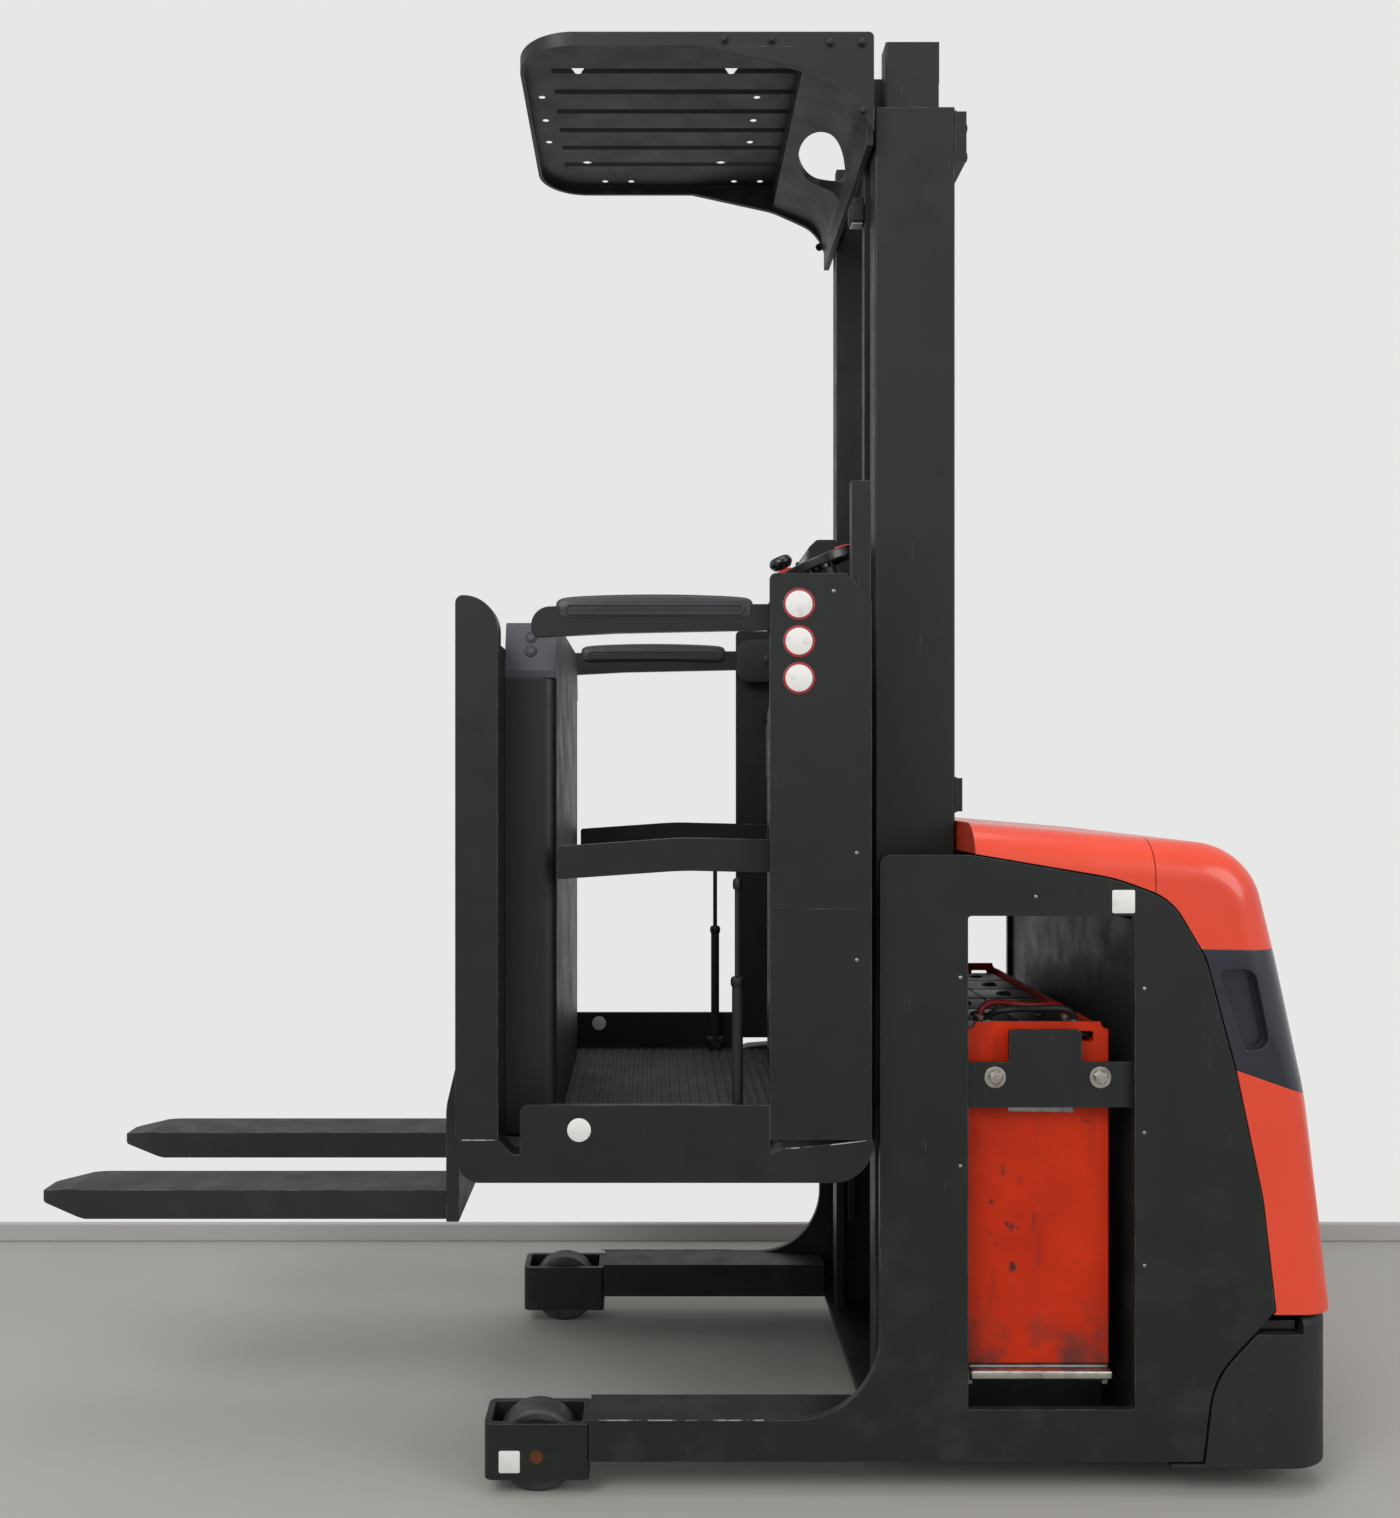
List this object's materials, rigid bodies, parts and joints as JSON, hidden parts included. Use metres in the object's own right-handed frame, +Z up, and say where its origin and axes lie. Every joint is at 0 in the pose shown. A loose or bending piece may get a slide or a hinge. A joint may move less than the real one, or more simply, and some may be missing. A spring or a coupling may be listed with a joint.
{
  "type": "order picker truck",
  "caption": "Electric order picker truck with a two-stage mast, a lifting operator cabin with forks and side gates, an overhead guard and a battery-powered drive unit.",
  "frame": {"origin": "on the floor under the middle of the truck, with the cabin raised 0.4 m as in the picture", "axes": "+X from the forks to the drive unit, +Z up, Y = 0 the middle plane"},
  "size_m": [2.4599, 0.98, 2.72],
  "materials": {
    "frame_paint": "semi-gloss dark grey-green",
    "black_paint": "satin black",
    "hood_paint": "semi-gloss orange-red",
    "battery_paint": "scuffed red",
    "grip_band": "gloss dark blue-grey",
    "black_plastic": "matt black",
    "panel_grey": "matt grey-blue",
    "machine_black": "dull black",
    "chromed_rod": "polished",
    "tread": "worn polyurethane",
    "black_rubber": "matt"
  },
  "bodies": {
    "chassis": {"chassis_side_left": "frame_paint", "chassis_side_right": "frame_paint", "base_frame": "frame_paint", "battery_tray": "frame_paint", "battery": "battery_paint", "battery_lock_left": "black_paint", "battery_lock_right": "black_paint", "hood_front": "hood_paint", "hood_rear": "hood_paint", "hood_grip_band": "grip_band", "bumper": "black_plastic", "mast_outer": "frame_paint", "lift_cylinders": "machine_black", "drive_motor": "machine_black", "pump_unit": "machine_black"},
    "load_wheel_left": {"load_wheel_left": "tread"},
    "load_wheel_right": {"load_wheel_right": "tread"},
    "drive_unit": {"drive_unit": "machine_black"},
    "drive_wheel": {"drive_wheel": "tread"},
    "castor_fork": {"castor_fork": "machine_black"},
    "castor_wheel": {"castor_wheel": "tread"},
    "mast_inner": {"mast_inner": "frame_paint", "lift_rods": "chromed_rod"},
    "cabin": {"carriage": "frame_paint", "platform_frame": "frame_paint", "platform_floor": "black_rubber", "side_panels": "frame_paint", "load_end": "frame_paint", "load_console": "black_plastic", "console_cap": "panel_grey", "mast_console": "black_plastic", "display_box": "black_plastic", "steering_column": "black_paint", "gate_struts": "black_paint", "guard_roof": "frame_paint", "guard_frame": "frame_paint", "fork_plate": "black_paint", "forks": "black_paint"},
    "steering_wheel": {"steering_wheel": "black_rubber"},
    "gate_bar_left": {"gate_bar_left": "black_paint", "gate_pad_left": "black_rubber"},
    "gate_bar_right": {"gate_bar_right": "black_paint", "gate_pad_right": "black_rubber"},
    "gate_rail_left": {"gate_rail_left": "black_paint"},
    "gate_rail_right": {"gate_rail_right": "black_paint"}
  },
  "joints": [
    {"name": "load_wheel_left_roll", "type": "hinge", "parent": "chassis", "child": "load_wheel_left", "pos_m": [-0.245, -0.3975, 0.075], "axis": [0, 1, 0], "continuous": true},
    {"name": "load_wheel_right_roll", "type": "hinge", "parent": "chassis", "child": "load_wheel_right", "pos_m": [-0.245, 0.3975, 0.075], "axis": [0, 1, 0], "continuous": true},
    {"name": "drive_steer", "type": "hinge", "parent": "chassis", "child": "drive_unit", "pos_m": [0.985, -0.15, 0.3], "axis": [0, 0, 1], "range_deg": [-90, 90]},
    {"name": "drive_wheel_roll", "type": "hinge", "parent": "drive_unit", "child": "drive_wheel", "pos_m": [0.985, -0.15, 0.115], "axis": [0, 1, 0], "continuous": true},
    {"name": "castor_swivel", "type": "hinge", "parent": "chassis", "child": "castor_fork", "pos_m": [0.985, 0.255, 0.16], "axis": [0, 0, 1], "continuous": true},
    {"name": "castor_wheel_roll", "type": "hinge", "parent": "castor_fork", "child": "castor_wheel", "pos_m": [1.027, 0.255, 0.062], "axis": [0, 1, 0], "continuous": true},
    {"name": "mast_lift", "type": "slide", "parent": "chassis", "child": "mast_inner", "axis": [0, 0, 1], "range_m": [-0.2, 1.4]},
    {"name": "cabin_lift", "type": "slide", "parent": "mast_inner", "child": "cabin", "axis": [0, 0, 1], "range_m": [-0.2, 1.4]},
    {"name": "steering_wheel_turn", "type": "hinge", "parent": "cabin", "child": "steering_wheel", "pos_m": [0.293, -0.23, 1.72], "axis": [-0.3746, 0, 0.9272], "continuous": true},
    {"name": "gate_bar_left_hinge", "type": "hinge", "parent": "cabin", "child": "gate_bar_left", "pos_m": [0.25, -0.46, 1.59], "axis": [0, 1, 0], "range_deg": [0, 80]},
    {"name": "gate_rail_left_hinge", "type": "hinge", "parent": "cabin", "child": "gate_rail_left", "pos_m": [0.25, -0.431, 1.15], "axis": [0, 1, 0], "range_deg": [0, 80]},
    {"name": "gate_bar_right_hinge", "type": "hinge", "parent": "cabin", "child": "gate_bar_right", "pos_m": [0.25, 0.46, 1.59], "axis": [0, 1, 0], "range_deg": [0, 80]},
    {"name": "gate_rail_right_hinge", "type": "hinge", "parent": "cabin", "child": "gate_rail_right", "pos_m": [0.25, 0.431, 1.15], "axis": [0, 1, 0], "range_deg": [0, 80]}
  ],
  "couplings": [
    {"joint": "cabin_lift", "follows": "mast_lift", "ratio": 1},
    {"joint": "gate_rail_left_hinge", "follows": "gate_bar_left_hinge", "ratio": 1},
    {"joint": "gate_rail_right_hinge", "follows": "gate_bar_right_hinge", "ratio": 1}
  ]
}
